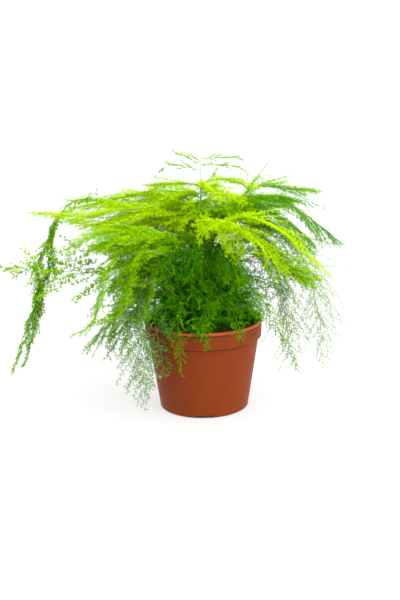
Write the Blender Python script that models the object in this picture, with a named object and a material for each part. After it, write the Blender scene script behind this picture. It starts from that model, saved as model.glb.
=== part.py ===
"""Potted asparagus fern: a plastic grower's pot, its compost and the shoots that rise from it.

Metres, +Z up. The origin is on the resting surface, under the middle of the pot. +X is the
plant's right and +Y its back. Each shoot is two pieces: a bare wiry stem that is seated in the
compost, and the flat feathery spray that the stem carries, which is a plain closed blade here.
"""

import math
from collections import namedtuple

import bmesh
import bpy
from mathutils import Vector

MM = 0.001
UP = Vector((0, 0, 1))

# The pot. Radii are outer radii and heights are measured from the resting surface.
POT_HEIGHT = 92 * MM
RIM_RADIUS = 61 * MM
BASE_RADIUS = 46 * MM
WALL = 1.2 * MM
BAND_HEIGHT = 17.5 * MM  # the straight band under the lip
BAND_STEP = 2.6 * MM  # how far the band stands out from the wall under it
BAND_DRAFT = 0.6 * MM  # how much the band narrows from the lip to its lower edge
LIP_HEIGHT = 3.0 * MM  # the rounded bead round the mouth
LIP_STEP = 0.6 * MM  # how far the bead stands out from the band
FLOOR_LIFT = 2.6 * MM  # the space under the floor, which the foot ring and the pad hold open
FOOT_WIDTH = 3.4 * MM
FOOT_FILLET = 1.4 * MM
PAD_RADIUS = 9 * MM
NOTCH_COUNT = 4
NOTCH_WIDTH = 21 * MM  # at the resting surface
NOTCH_SLOPE = 2.6 * MM  # how far each end of a notch leans in over its height
NOTCH_HEIGHT = 2.1 * MM
DRAIN_COUNT = 8
DRAIN_RADIUS = 4 * MM
DRAIN_CIRCLE = 29 * MM
DRAIN_SIDES = 16
POT_SEGMENTS = 64

# The compost and the seats of the stems in it.
SOIL_BELOW_STEP = 1.5 * MM  # the compost stops this far under the step inside the pot
SOIL_DOME = 2.5 * MM  # how much higher the compost is in the middle
STEM_RADIUS = 0.9 * MM
STEM_TIP_RADIUS = 0.7 * MM
SEAT_DEPTH = 12 * MM
STRAIGHT_RISE = 6 * MM  # a stem leaves the compost upright for this length
STEM_LEAD = 1 / 6  # how early a stem turns into its spray's direction, as a share of its rise
STEM_SIDES = 6
STEM_STEPS = 9

# The sprays.
SPRAY_HALF_THICKNESS = 1.5 * MM
SPRAY_SHOULDER = 0.62  # where the flat of a blade ends, as a share of its half width
SPRAY_SHARES = (0, 0.1, 0.24, 0.42, 0.6, 0.78, 0.92, 1)
SPRAY_START_WIDTH = 2.4 * MM
SPRAY_TIP_WIDTH = 1.0 * MM
SPRAY_END_SHARE = 0.45  # thickness at both ends, as a share of the full thickness
SWELL_FORWARD = 0.62  # under 1 moves a blade's widest place towards its stem
SWELL_ROUNDNESS = 0.8  # under 1 makes a blade's outline fuller
CURVE_STEPS = 24  # points worked out between two neighbours on a route

CLEARANCE = 0.3 * MM
MERGE_DISTANCE = 0.001 * MM
SHARP_EDGE = 35  # degrees between two faces from which an edge is drawn sharp

# One row for each shoot. The root is its place in the compost: degrees round the pot from +X and
# millimetres from the middle. The route is the spray's own line: degrees, millimetres beyond the
# rim's radius and millimetres above the rim. Below the rim the last value is a share of the
# pot's height, so that a spray hangs as far down the pot whatever the height is. spread is the
# direction that a blade is wide in, in degrees, or None for level and square to its route.
Shoot = namedtuple("Shoot", "name root half_width spread route")

SHOOTS = (
    Shoot("spire", (270, 3), 36, 0,
          ((270, -59, 132), (270, -59, 144), (270, -59, 152), (270, -59, 162))),
    Shoot("left_top", (140, 9), 20, None,
          ((129, -34, 114), (143, 6, 127), (150, 51, 127), (156, 92, 124))),
    Shoot("left_long", (198, 9), 18, None,
          ((199, -36, 100), (199, 3, 118), (194, 55, 114), (190, 107, 117))),
    Shoot("left_mid", (230, 9), 17, None,
          ((230, -13, 91), (219, 23, 100), (214, 58, 101), (210, 83, 94))),
    Shoot("left_rope", (170, 13), 7, None,
          ((162, -21, 106), (170, 29, 117), (173, 68, 121), (175, 90, 99), (176, 104, 59),
           (176, 115, 13), (176, 126, -0.28), (177, 141, -0.62))),
    Shoot("left_twig", (186, 18), 6, None,
          ((189, -7, 50), (188, 25, 56), (187, 51, 56), (187, 74, 54), (186, 94, 48),
           (185, 114, 52), (185, 139, 55))),
    Shoot("left_droop", (224, 18), 10, None,
          ((229, 7, 86), (222, 36, 84), (220, 53, 64), (219, 61, 39), (217, 71, 15), (212, 85, 5))),
    Shoot("left_low", (212, 27), 11, None,
          ((214, -10, 64), (210, 15, 57), (207, 38, 31))),
    Shoot("left_skirt", (190, 29), 12, None,
          ((193, -16, 30), (187, 19, 17), (186, 42, -0.03), (185, 63, -0.28))),
    Shoot("left_hang", (230, 30), 14, 10,
          ((228, 4, 46), (225, 24, 34), (224, 35, 7), (226, 31, -0.38), (229, 28, -0.80))),
    Shoot("rim_left", (252, 32), 8, 0,
          ((254, -8, 31), (251, 10, 23), (253, 17, -0.08), (254, 17, -0.39))),
    Shoot("rim_centre", (272, 32), 8, 0,
          ((274, -12, 28), (272, 7, 19), (272, 14, -0.13))),
    Shoot("rim_right", (292, 32), 8, 0,
          ((292, -10, 29), (295, 9, 20), (298, 18, -0.04))),
    Shoot("front_lime", (276, 12), 11, None,
          ((287, 5, 98), (278, 25, 107), (272, 40, 97), (269, 46, 84))),
    Shoot("front_left", (248, 20), 12, 0,
          ((249, -1, 75), (248, 26, 74), (247, 43, 54))),
    Shoot("front_centre", (268, 20), 12, 0,
          ((267, 0, 82), (265, 26, 73), (264, 39, 48))),
    Shoot("front_right", (289, 20), 12, 0,
          ((289, -2, 75), (290, 24, 69), (291, 35, 45))),
    Shoot("right_lime", (322, 12), 15, None,
          ((291, -17, 100), (308, 6, 111), (320, 34, 100), (326, 55, 78), (331, 75, 57))),
    Shoot("right_rope", (336, 25), 8, None,
          ((328, -9, 71), (333, 14, 66), (337, 37, 53), (340, 59, 42))),
    Shoot("right_droop", (314, 29), 10, 340,
          ((316, 3, 46), (322, 24, 32), (325, 38, -0.01), (329, 48, -0.40))),
    Shoot("right_top", (44, 9), 17, None,
          ((45, -15, 111), (41, 16, 128), (34, 48, 125), (27, 82, 121))),
    Shoot("right_long", (8, 9), 17, None,
          ((13, -25, 111), (7, 10, 125), (3, 44, 106), (2, 83, 77))),
    Shoot("right_hang", (26, 20), 18, 0,
          ((35, 9, 77), (26, 45, 72), (22, 70, 38), (20, 77, -0.12), (19, 85, -0.70))),
    Shoot("back_left", (114, 14), 20, None,
          ((116, -14, 98), (113, 24, 112), (112, 62, 92), (112, 86, 52))),
    Shoot("back_centre", (90, 12), 18, None,
          ((88, -8, 90), (86, 30, 98), (84, 66, 74), (83, 86, 30))),
    Shoot("back_right", (70, 17), 20, None,
          ((64, -14, 98), (63, 24, 108), (61, 60, 88), (60, 84, 48))),
    Shoot("back_low_left", (146, 22), 16, None,
          ((144, -6, 56), (142, 24, 50), (141, 50, 26), (140, 66, -0.10))),
    Shoot("back_low_right", (44, 24), 15, None,
          ((60, -8, 50), (66, 20, 48), (70, 46, 22), (72, 62, -0.14))),
)

COLOURS = {
    "pot_plastic": ((0.27, 0.075, 0.02), 0.42),
    "compost": ((0.025, 0.016, 0.010), 0.95),
    "stem_green": ((0.10, 0.19, 0.03), 0.55),
    "spray_lime": ((0.36, 0.60, 0.01), 0.6),
    "spray_green": ((0.11, 0.33, 0.01), 0.6),
    "spray_sage": ((0.24, 0.38, 0.16), 0.65),
}
LIME = ("left_top", "left_long", "front_lime", "right_lime", "spire")
SAGE = ("left_hang", "right_hang")


def material(name):
    """The plain material of a finish, made once."""
    found = bpy.data.materials.get(name)
    if found:
        return found
    colour, roughness = COLOURS[name]
    made = bpy.data.materials.new(name)
    made.use_nodes = True
    shader = made.node_tree.nodes["Principled BSDF"]
    shader.inputs["Base Color"].default_value = (*colour, 1)
    shader.inputs["Roughness"].default_value = roughness
    return made


def add_object(name, mesh, finish):
    """Puts a mesh in the scene, smooth except at real edges."""
    mesh.shade_smooth()
    mesh.set_sharp_from_angle(angle=math.radians(SHARP_EDGE))
    mesh.materials.append(material(finish))
    made = bpy.data.objects.new(name, mesh)
    bpy.context.scene.collection.objects.link(made)
    return made


def rings_to_mesh(name, rings):
    """A closed skin over rings of points, with a face across each end."""
    mesh = bpy.data.meshes.new(name)
    work = bmesh.new()
    made = [[work.verts.new(point) for point in ring] for ring in rings]
    for low, high in zip(made, made[1:]):
        count = len(low)
        for i in range(count):
            j = (i + 1) % count
            work.faces.new((low[i], low[j], high[j], high[i]))
    work.faces.new(made[0])
    work.faces.new(made[-1])
    bmesh.ops.recalc_face_normals(work, faces=work.faces)
    work.to_mesh(mesh)
    work.free()
    return mesh


def turned_mesh(name, profile, segments):
    """Turns (radius, height) points round +Z. The first and last points lie on the axis."""
    mesh = bpy.data.meshes.new(name)
    work = bmesh.new()
    line = [work.verts.new((radius, 0, height)) for radius, height in profile]
    edges = [work.edges.new(pair) for pair in zip(line, line[1:])]
    bmesh.ops.spin(
        work,
        geom=line + edges,
        cent=(0, 0, 0),
        axis=(0, 0, 1),
        angle=math.tau,
        steps=segments,
        use_merge=True,
    )
    bmesh.ops.remove_doubles(work, verts=work.verts, dist=MERGE_DISTANCE)
    bmesh.ops.recalc_face_normals(work, faces=work.faces)
    work.to_mesh(mesh)
    work.free()
    return mesh


def hide_cutter(cutter):
    cutter.hide_render = True
    cutter.display_type = "WIRE"


def cut(target, cutter):
    hide_cutter(cutter)
    boolean = target.modifiers.new("cut_" + cutter.name, "BOOLEAN")
    boolean.operation = "DIFFERENCE"
    boolean.solver = "EXACT"
    boolean.object = cutter


def arc(centre, radius, start, end, steps):
    """Points on a circular arc in the profile's plane, in degrees from the outward direction."""
    points = []
    for i in range(steps + 1):
        angle = math.radians(start + (end - start) * i / steps)
        points.append((centre[0] + radius * math.cos(angle), centre[1] + radius * math.sin(angle)))
    return points


# ---- the pot ----

BAND_BOTTOM = POT_HEIGHT - BAND_HEIGHT
BAND_RADIUS = RIM_RADIUS - LIP_STEP
WALL_TOP_RADIUS = BAND_RADIUS - BAND_DRAFT - BAND_STEP
FLOOR_TOP = FLOOR_LIFT + WALL
STEP_INSIDE = BAND_BOTTOM + WALL


def wall_radius(height):
    """The outer radius of the tapered wall under the band."""
    share = height / BAND_BOTTOM
    return BASE_RADIUS + (WALL_TOP_RADIUS - BASE_RADIUS) * share


def bore_radius(height):
    """The inner radius of the pot, from the floor up to the step inside."""
    low = wall_radius(FLOOR_TOP) - WALL
    high = WALL_TOP_RADIUS - WALL
    return low + (high - low) * (height - FLOOR_TOP) / (STEP_INSIDE - FLOOR_TOP)


def pot_profile():
    lip_radius = LIP_HEIGHT / 2
    foot_inner = BASE_RADIUS - FOOT_WIDTH
    outside = [
        (0, 0),
        (PAD_RADIUS, 0),
        (PAD_RADIUS, FLOOR_LIFT),
        (foot_inner, FLOOR_LIFT),
        (foot_inner, 0),
    ]
    outside += arc((BASE_RADIUS - FOOT_FILLET, FOOT_FILLET), FOOT_FILLET, -90, -8, 3)
    outside += [
        (WALL_TOP_RADIUS, BAND_BOTTOM),
        (BAND_RADIUS - BAND_DRAFT, BAND_BOTTOM),
        (BAND_RADIUS, POT_HEIGHT - LIP_HEIGHT),
        (RIM_RADIUS, POT_HEIGHT - LIP_HEIGHT),
    ]
    outside += arc((RIM_RADIUS - lip_radius, POT_HEIGHT - lip_radius), lip_radius, 0, 180, 6)
    inside = [
        (BAND_RADIUS - BAND_DRAFT - WALL, STEP_INSIDE),
        (bore_radius(STEP_INSIDE), STEP_INSIDE),
        (bore_radius(FLOOR_TOP), FLOOR_TOP),
        (0, FLOOR_TOP),
    ]
    return outside + inside


def notch_cutters():
    """One trapezoid for each drain notch through the foot ring, the first at the front."""
    low = -CLEARANCE
    rings = []
    reach = (BASE_RADIUS - 2 * FOOT_WIDTH, BASE_RADIUS + FOOT_WIDTH)
    slope = NOTCH_SLOPE / NOTCH_HEIGHT
    bottom = NOTCH_WIDTH / 2 - slope * low
    top = NOTCH_WIDTH / 2 - NOTCH_SLOPE
    for distance in reach:
        corners = [(-bottom, low), (bottom, low), (top, NOTCH_HEIGHT), (-top, NOTCH_HEIGHT)]
        rings.append((distance, corners))
    cutters = []
    for i in range(NOTCH_COUNT):
        angle = -math.pi / 2 + math.tau * i / NOTCH_COUNT
        out = Vector((math.cos(angle), math.sin(angle), 0))
        side = Vector((-out.y, out.x, 0))
        points = []
        for distance, corners in rings:
            points.append([out * distance + side * across + UP * up for across, up in corners])
        name = f"notch_cutter_{i + 1}"
        cutters.append(add_object(name, rings_to_mesh(name, points), "pot_plastic"))
    return cutters


def ring_round(point, direction, side, radius, sides):
    """Points round a tube's line, square to its direction, starting from one side."""
    normal = direction.cross(side).normalized()
    across = normal.cross(direction).normalized()
    ring = []
    for i in range(sides):
        angle = math.tau * i / sides
        ring.append(point + across * radius * math.cos(angle) + normal * radius * math.sin(angle))
    return ring


def build_pot():
    pot = add_object("pot", turned_mesh("pot", pot_profile(), POT_SEGMENTS), "pot_plastic")
    for cutter in notch_cutters():
        cut(pot, cutter)
    for i in range(DRAIN_COUNT):
        # The drain holes lie between the notches.
        angle = math.tau * (i + 0.5) / DRAIN_COUNT
        out = Vector((math.cos(angle), math.sin(angle), 0))
        ends = [out * DRAIN_CIRCLE + UP * height for height in (FLOOR_LIFT - WALL, FLOOR_TOP + WALL)]
        name = f"drain_cutter_{i + 1}"
        mesh = rings_to_mesh(name, [ring_round(end, UP, out, DRAIN_RADIUS, DRAIN_SIDES) for end in ends])
        cut(pot, add_object(name, mesh, "pot_plastic"))
    return pot


# ---- the compost ----

SOIL_EDGE = STEP_INSIDE - SOIL_BELOW_STEP
SOIL_RADIUS = bore_radius(SOIL_EDGE) - CLEARANCE


def soil_height(radius):
    """The height of the compost's domed top at a distance from the middle."""
    return SOIL_EDGE + SOIL_DOME * (1 - (radius / SOIL_RADIUS) ** 2)


def root_of(shoot):
    """The middle of a shoot's seat on the compost."""
    angle, distance = shoot.root
    angle = math.radians(angle)
    distance *= MM
    return Vector((distance * math.cos(angle), distance * math.sin(angle), soil_height(distance)))


def root_side(shoot):
    """The level direction square to the one in which a shoot leans out."""
    angle = math.radians(shoot.root[0])
    return Vector((-math.sin(angle), math.cos(angle), 0))


def build_soil():
    floor = FLOOR_TOP + CLEARANCE
    profile = [(0, floor), (bore_radius(floor) - CLEARANCE, floor)]
    dome = [(SOIL_RADIUS * share, soil_height(SOIL_RADIUS * share)) for share in (1, 0.7, 0.4, 0)]
    soil = add_object("compost", turned_mesh("compost", profile + dome, POT_SEGMENTS), "compost")
    seats = bmesh.new()
    for shoot in SHOOTS:
        root = root_of(shoot)
        ends = (root - UP * (SEAT_DEPTH + CLEARANCE), root + UP * STRAIGHT_RISE)
        radius = STEM_RADIUS + CLEARANCE
        rings = [ring_round(end, UP, root_side(shoot), radius, STEM_SIDES) for end in ends]
        seat = rings_to_mesh("seat", rings)
        seats.from_mesh(seat)
        bpy.data.meshes.remove(seat)
    mesh = bpy.data.meshes.new("seat_cutters")
    seats.to_mesh(mesh)
    seats.free()
    cut(soil, add_object("seat_cutters", mesh, "compost"))
    return soil


# ---- the shoots ----


def route_points(shoot):
    """The spray's route as points in space."""
    points = []
    for degrees, out, up in shoot.route:
        angle = math.radians(degrees)
        radius = RIM_RADIUS + out * MM
        height = POT_HEIGHT + (up * MM if up >= 0 else up * POT_HEIGHT)
        points.append(Vector((radius * math.cos(angle), radius * math.sin(angle), height)))
    return points


def smooth_curve(points, samples):
    """Points along a Catmull-Rom curve through the given points, with tangents that suit
    uneven spacing, and evenly spaced along its length."""
    ends = [2 * points[0] - points[1]] + points + [2 * points[-1] - points[-2]]
    dense = []
    for a, b, c, d in zip(ends, ends[1:], ends[2:], ends[3:]):
        times = [0.0]
        for p, q in ((a, b), (b, c), (c, d)):
            times.append(times[-1] + math.sqrt((q - p).length))
        t0, t1, t2, t3 = times
        for i in range(CURVE_STEPS):
            t = t1 + (t2 - t1) * i / CURVE_STEPS
            ab = a.lerp(b, (t - t0) / (t1 - t0))
            bc = b.lerp(c, (t - t1) / (t2 - t1))
            cd = c.lerp(d, (t - t2) / (t3 - t2))
            abc = ab.lerp(bc, (t - t0) / (t2 - t0))
            bcd = bc.lerp(cd, (t - t1) / (t3 - t1))
            dense.append(abc.lerp(bcd, (t - t1) / (t2 - t1)))
    dense.append(points[-1].copy())
    lengths = [0.0]
    for p, q in zip(dense, dense[1:]):
        lengths.append(lengths[-1] + (q - p).length)
    sampled = []
    index = 0
    for share in samples:
        wanted = share * lengths[-1]
        while index < len(lengths) - 2 and lengths[index + 1] < wanted:
            index += 1
        span = lengths[index + 1] - lengths[index]
        sampled.append(dense[index].lerp(dense[index + 1], (wanted - lengths[index]) / span))
    return sampled


def tangents(points):
    ends = [points[0]] + points + [points[-1]]
    return [(after - before).normalized() for before, after in zip(ends, ends[2:])]


def build_stem(shoot):
    """A wiry cane from its seat up to the spray."""
    root = root_of(shoot)
    seat = root - UP * SEAT_DEPTH
    rise = root + UP * STRAIGHT_RISE
    start, follow = route_points(shoot)[:2]
    lead = start - (follow - start).normalized() * (start - rise).length * STEM_LEAD
    shares = [i / STEM_STEPS for i in range(STEM_STEPS + 1)]
    curve = smooth_curve([rise, lead, start], shares)
    line = [seat, root] + curve
    directions = [UP] * 3 + tangents(curve)[1:]
    rings = []
    for i, (point, direction) in enumerate(zip(line, directions)):
        share = max(0, i - 2) / STEM_STEPS
        radius = STEM_RADIUS + (STEM_TIP_RADIUS - STEM_RADIUS) * share
        rings.append(ring_round(point, direction, root_side(shoot), radius, STEM_SIDES))
    name = shoot.name + "_stem"
    add_object(name, rings_to_mesh(name, rings), "stem_green")
    return directions[-1]


def half_width(shoot, share):
    """A spray is widest a third of the way out and narrows to a point."""
    swell = math.sin(math.pi * share**SWELL_FORWARD) ** SWELL_ROUNDNESS
    ends = SPRAY_START_WIDTH + (SPRAY_TIP_WIDTH - SPRAY_START_WIDTH) * share
    return ends / 2 + shoot.half_width * MM * swell


def build_spray(shoot, stem_direction):
    """A flat blade along the route, which holds the space of the feathery spray."""
    route = route_points(shoot)
    route[0] = route[0] + stem_direction * CLEARANCE
    line = smooth_curve(route, SPRAY_SHARES)
    directions = [stem_direction] + tangents(line)[1:]
    if shoot.spread is None:
        ahead = route[-1] - route[0]
        side = Vector((-ahead.y, ahead.x, 0)).normalized()
    else:
        side = Vector((math.cos(math.radians(shoot.spread)), math.sin(math.radians(shoot.spread)), 0))
    rings = []
    for share, point, direction in zip(SPRAY_SHARES, line, directions):
        normal = direction.cross(side).normalized()
        across = normal.cross(direction).normalized()
        width = half_width(shoot, share)
        fullness = SPRAY_END_SHARE + (1 - SPRAY_END_SHARE) * math.sin(math.pi * share)
        thickness = SPRAY_HALF_THICKNESS * fullness
        shoulder = width * SPRAY_SHOULDER
        corners = (
            (-width, 0),
            (-shoulder, -thickness),
            (shoulder, -thickness),
            (width, 0),
            (shoulder, thickness),
            (-shoulder, thickness),
        )
        rings.append([point + across * a + normal * b for a, b in corners])
    name = shoot.name + "_spray"
    finish = "spray_green"
    if shoot.name in LIME:
        finish = "spray_lime"
    if shoot.name in SAGE:
        finish = "spray_sage"
    add_object(name, rings_to_mesh(name, rings), finish)


def main():
    for old in list(bpy.data.objects):
        bpy.data.objects.remove(old, do_unlink=True)
    build_pot()
    build_soil()
    for shoot in SHOOTS:
        build_spray(shoot, build_stem(shoot))


main()
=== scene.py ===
import math
from collections import namedtuple

import bpy
import numpy as np
from mathutils import Matrix, Quaternion, Vector


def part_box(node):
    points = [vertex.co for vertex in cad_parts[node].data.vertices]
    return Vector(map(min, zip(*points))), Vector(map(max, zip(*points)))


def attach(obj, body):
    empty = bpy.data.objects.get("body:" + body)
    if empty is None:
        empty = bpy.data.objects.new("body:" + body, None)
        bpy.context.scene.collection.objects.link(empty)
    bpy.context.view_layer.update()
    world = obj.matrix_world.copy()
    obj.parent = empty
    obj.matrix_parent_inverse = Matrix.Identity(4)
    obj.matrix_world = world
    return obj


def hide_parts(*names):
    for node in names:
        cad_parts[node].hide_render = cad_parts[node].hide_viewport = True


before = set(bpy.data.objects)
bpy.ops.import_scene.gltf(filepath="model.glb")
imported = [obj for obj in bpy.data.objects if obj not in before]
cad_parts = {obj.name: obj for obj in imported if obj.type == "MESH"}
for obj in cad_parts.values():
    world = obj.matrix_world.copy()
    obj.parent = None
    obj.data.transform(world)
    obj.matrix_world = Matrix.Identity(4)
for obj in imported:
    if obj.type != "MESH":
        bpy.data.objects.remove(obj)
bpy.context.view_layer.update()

MM = 0.001
DOWN = np.array((0.0, 0.0, -1.0))
GOLDEN_ANGLE = 2.4  # radians from each frond, branch or needle to the next round its stem
POT_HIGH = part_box("pot")[1]
POT_HEIGHT = POT_HIGH.z
RIM_RADIUS = POT_HIGH.x
BAND = 17.5  # millimetres from the top of the pot down to the foot of its band

# How a spray is built, in millimetres and degrees. gap and angle place the side branches along
# the spray's line, volume is how far they turn out of its plane and reach is their length as a
# share of its half width. sweep bends them forward, droop bends them down and curl bends each one
# its own way. The twigs on a branch and the tufts on a twig follow the same pattern. needle and
# width are the size of one needle, and count is the number of needles in a tuft.
Style = namedtuple(
    "Style", "gap angle volume reach sweep droop curl twig_gap twig_length twig_angle tuft_gap "
             "needle width count")
STYLES = {
    "plume": Style(3.0, 32, 0.26, 1.10, 0.35, 0.14, 0.30, 2.6, 7.4, 38, 2.1, 3.3, 0.40, 5),
    "curtain": Style(3.0, 34, 0.30, 1.25, 0.35, 0.70, 0.35, 2.6, 7.4, 38, 2.1, 3.3, 0.40, 5),
    "frond": Style(3.0, 36, 0.14, 1.25, 0.25, 0.20, 0.35, 2.1, 5.2, 42, 1.6, 2.4, 0.36, 6),
    "thicket": Style(4.0, 46, 0.9, 1.1, 0.3, 0.12, 0.60, 2.5, 6.4, 44, 1.9, 2.9, 0.28, 5),
    "rope": Style(1.9, 20, 1.3, 1.05, 0.1, 0.05, 0.20, 2.2, 4.2, 32, 1.8, 3.0, 0.54, 6),
    "sage": Style(4.8, 48, 0.40, 1.6, 0.25, 0.14, 0.55, 1.7, 4.4, 52, 1.3, 2.2, 0.50, 5),
    "twig": Style(4.6, 50, 1.0, 3.7, 0.4, 0.00, 0.15, 2.8, 6.5, 50, 2.4, 3.4, 1.25, 5),
    "veil": Style(4.8, 46, 0.90, 1.5, 0.40, 0.20, 0.95, 1.9, 4.4, 50, 1.4, 2.1, 0.38, 4),
    "trail": Style(2.8, 42, 0.6, 0.90, 0.3, 0.10, 0.50, 1.7, 3.2, 46, 1.3, 2.1, 0.40, 5),
    "spire": Style(3.6, 24, 1.0, 1.0, 0.2, 0.00, 0.30, 2.6, 4.0, 24, 1.8, 2.8, 0.50, 6),
}

# One row for each shoot, in the frame's own terms. The root is its place in the compost: degrees
# round the pot and millimetres from the middle. The route is the spray's line: degrees,
# millimetres beyond the rim and millimetres above it, or a share of the pot's height below it.
# spread is the direction a spray is wide in, or None for level. tone runs from deep to bright; the
# deep tones of the front thickets are partly painted shade.
# A spray's line ends at its tip, and its stem joins it at the first point.
Shoot = namedtuple("Shoot", "name root half_width spread style finish tone route")
# Further fronds from the same cane: degrees swung round from the route and its share in length.
FRONDS = {
    "left_top": ((-14, 0.9), (9, 0.85), (-7, 0.95), (16, 0.75)),
    "left_long": ((12, 0.85), (-9, 0.95), (18, 0.75), (-15, 0.8)),
    "left_mid": ((10, 0.9), (-12, 1.0), (16, 0.8), (-18, 0.9), (4, 0.95)),
    "left_droop": ((9, 0.8), (-9, 0.95), (15, 0.7)),
    "left_low": ((-10, 1.6), (4, 1.2), (14, 1.0)),
    "left_skirt": ((-9, 0.9), (10, 0.85), (22, 0.9)),
    "left_hang": ((-14, 0.95), (-28, 1.0), (10, 0.7)),
    "front_lime": ((14, 0.74), (27, 0.74), (40, 0.78)),
    "front_left": ((-16, 0.9), (14, 0.9), (-28, 0.8)),
    "front_centre": ((-12, 0.9), (12, 0.9), (24, 0.8)),
    "front_right": ((-14, 0.9), (16, 0.9), (28, 0.8)),
    "right_lime": ((-14, 0.8),),
    "right_top": ((-12, 0.85), (12, 0.9), (-20, 0.7)),
    "right_long": ((-10, 0.9), (8, 0.95), (-18, 0.75), (-4, 0.97)),
    "right_hang": ((-14, 1.04), (-24, 0.8), (10, 0.8), (-7, 0.82)),
    "right_droop": ((-10, 0.6), (9, 0.5)),
    "back_left": ((-14, 0.9), (14, 0.8)),
    "back_centre": ((12, 0.85),),
    "back_right": ((-12, 0.85),),
    "back_low_left": ((-12, 0.9), (12, 0.8)),
    "back_low_right": ((12, 0.9),),
}
SHOOTS = (
    Shoot("spire", (270, 3), 36, 0, "spire", "lime", 0.46,
          ((270, -59, 132), (270, -59, 144), (270, -59, 152), (270, -59, 162))),
    Shoot("left_top", (140, 9), 20, None, "plume", "lime", 0.72,
          ((129, -34, 114), (143, 6, 124), (150, 51, 116), (156, 92, 106))),
    Shoot("left_long", (198, 9), 18, None, "plume", "lime", 0.75,
          ((199, -36, 100), (199, 3, 116), (194, 55, 111), (190, 107, 115))),
    Shoot("left_mid", (230, 9), 17, None, "plume", "green", 0.8,
          ((230, -13, 91), (219, 23, 99), (214, 58, 97), (210, 83, 86))),
    Shoot("left_rope", (170, 13), 6.2, None, "rope", "green", 0.52,
          ((162, -21, 106), (170, 29, 117), (173, 68, 120), (175, 87, 100), (176, 100, 59),
           (176, 112, 13), (176, 124, -0.28), (177, 138, -0.65))),
    Shoot("left_twig", (186, 18), 9, None, "twig", "green", 0.62,
          ((189, -7, 50), (188, 25, 56), (187, 51, 56), (187, 74, 54), (186, 94, 51),
           (185, 114, 57), (185, 139, 60))),
    Shoot("left_droop", (224, 18), 10, None, "plume", "green", 0.66,
          ((229, 7, 86), (222, 36, 84), (220, 53, 64), (219, 61, 39), (217, 71, 15), (212, 85, 5))),
    Shoot("left_low", (212, 27), 11, None, "sage", "green", 0.42,
          ((214, -10, 64), (210, 15, 57), (207, 38, 31))),
    Shoot("left_skirt", (190, 29), 17, None, "sage", "green", 0.5,
          ((193, -16, 30), (187, 19, 17), (186, 41, -0.06), (185, 60, -0.36))),
    Shoot("left_hang", (230, 30), 13, 10, "sage", "sage", 0.42,
          ((228, 4, 46), (225, 24, 34), (224, 35, 7), (226, 31, -0.38), (229, 28, -0.80))),
    Shoot("rim_left", (252, 32), 8, 0, "trail", "green", 0.22,
          ((254, -8, 31), (251, 10, 23), (253, 17, -0.08), (254, 17, -0.39))),
    Shoot("rim_centre", (272, 32), 8, 0, "trail", "green", 0.24,
          ((274, -12, 28), (272, 7, 19), (272, 14, -0.13))),
    Shoot("rim_right", (292, 32), 8, 0, "trail", "green", 0.24,
          ((292, -10, 29), (295, 9, 20), (298, 18, -0.04))),
    Shoot("front_lime", (276, 12), 9, None, "frond", "lime", 0.82,
          ((287, 5, 100), (278, 25, 112), (272, 40, 107), (269, 46, 97))),
    Shoot("front_left", (248, 20), 12, 0, "thicket", "green", 0.10,
          ((249, -1, 75), (248, 26, 74), (247, 43, 54))),
    Shoot("front_centre", (268, 20), 12, 0, "thicket", "green", 0.07,
          ((267, 0, 82), (265, 26, 73), (264, 39, 48))),
    Shoot("front_right", (289, 20), 12, 0, "thicket", "green", 0.10,
          ((289, -2, 75), (290, 24, 69), (291, 35, 45))),
    Shoot("right_lime", (322, 12), 15, None, "frond", "lime", 0.8,
          ((291, -17, 100), (308, 6, 111), (320, 34, 100), (326, 55, 78), (331, 75, 57))),
    Shoot("right_rope", (336, 25), 8, None, "rope", "green", 0.75,
          ((328, -9, 71), (333, 14, 66), (337, 37, 53), (340, 59, 42))),
    Shoot("right_droop", (314, 29), 10, 340, "trail", "green", 0.45,
          ((314, 2, 44), (319, 18, 27), (323, 32, -0.03), (328, 46, -0.42))),
    Shoot("right_top", (44, 9), 17, None, "plume", "green", 0.56,
          ((45, -15, 111), (41, 16, 128), (34, 48, 125), (27, 82, 121))),
    Shoot("right_long", (8, 9), 17, None, "curtain", "green", 0.4,
          ((13, -25, 111), (7, 10, 123), (3, 44, 103), (2, 81, 74))),
    Shoot("right_hang", (26, 20), 18, 0, "veil", "sage", 0.80,
          ((35, 9, 77), (26, 45, 72), (22, 70, 38), (20, 77, -0.12), (19, 85, -0.70))),
    Shoot("back_left", (114, 14), 20, None, "plume", "green", 0.6,
          ((116, -14, 98), (113, 24, 112), (112, 62, 92), (112, 86, 52))),
    Shoot("back_centre", (90, 12), 18, None, "plume", "green", 0.5,
          ((88, -8, 90), (86, 30, 98), (84, 66, 74), (83, 86, 30))),
    Shoot("back_right", (70, 17), 20, None, "plume", "green", 0.5,
          ((64, -14, 98), (63, 24, 108), (61, 60, 88), (60, 84, 48))),
    Shoot("back_low_left", (146, 22), 16, None, "plume", "green", 0.4,
          ((144, -6, 56), (142, 24, 50), (141, 50, 26), (140, 66, -0.10))),
    Shoot("back_low_right", (44, 24), 15, None, "plume", "green", 0.4,
          ((60, -8, 50), (66, 20, 48), (70, 46, 22), (72, 62, -0.14))),
)


# ---- small helpers ----


def linear(code):
    """A hex colour as the linear values that a socket takes."""
    parts = [int(code[i:i + 2], 16) / 255 for i in (1, 3, 5)]
    return tuple(c / 12.92 if c <= 0.04045 else ((c + 0.055) / 1.055) ** 2.4 for c in parts) + (1.0,)


def add(tree, kind, values=None, **settings):
    """Adds a node, sets its properties, then sets or links its inputs. A node given as a value is
    linked by its first output, and the members of a list are linked one by one."""
    made = tree.nodes.new(kind)
    for key, value in settings.items():
        setattr(made, key, value)
    for key, value in (values or {}).items():
        for each in value if isinstance(value, list) else [value]:
            if isinstance(each, bpy.types.Node):
                each = each.outputs[0]
            if isinstance(each, bpy.types.NodeSocket):
                tree.links.new(each, made.inputs[key])
            else:
                made.inputs[key].default_value = each
    return made


def unit(vectors):
    return vectors / np.maximum(np.linalg.norm(vectors, axis=-1, keepdims=True), 1e-9)


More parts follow.
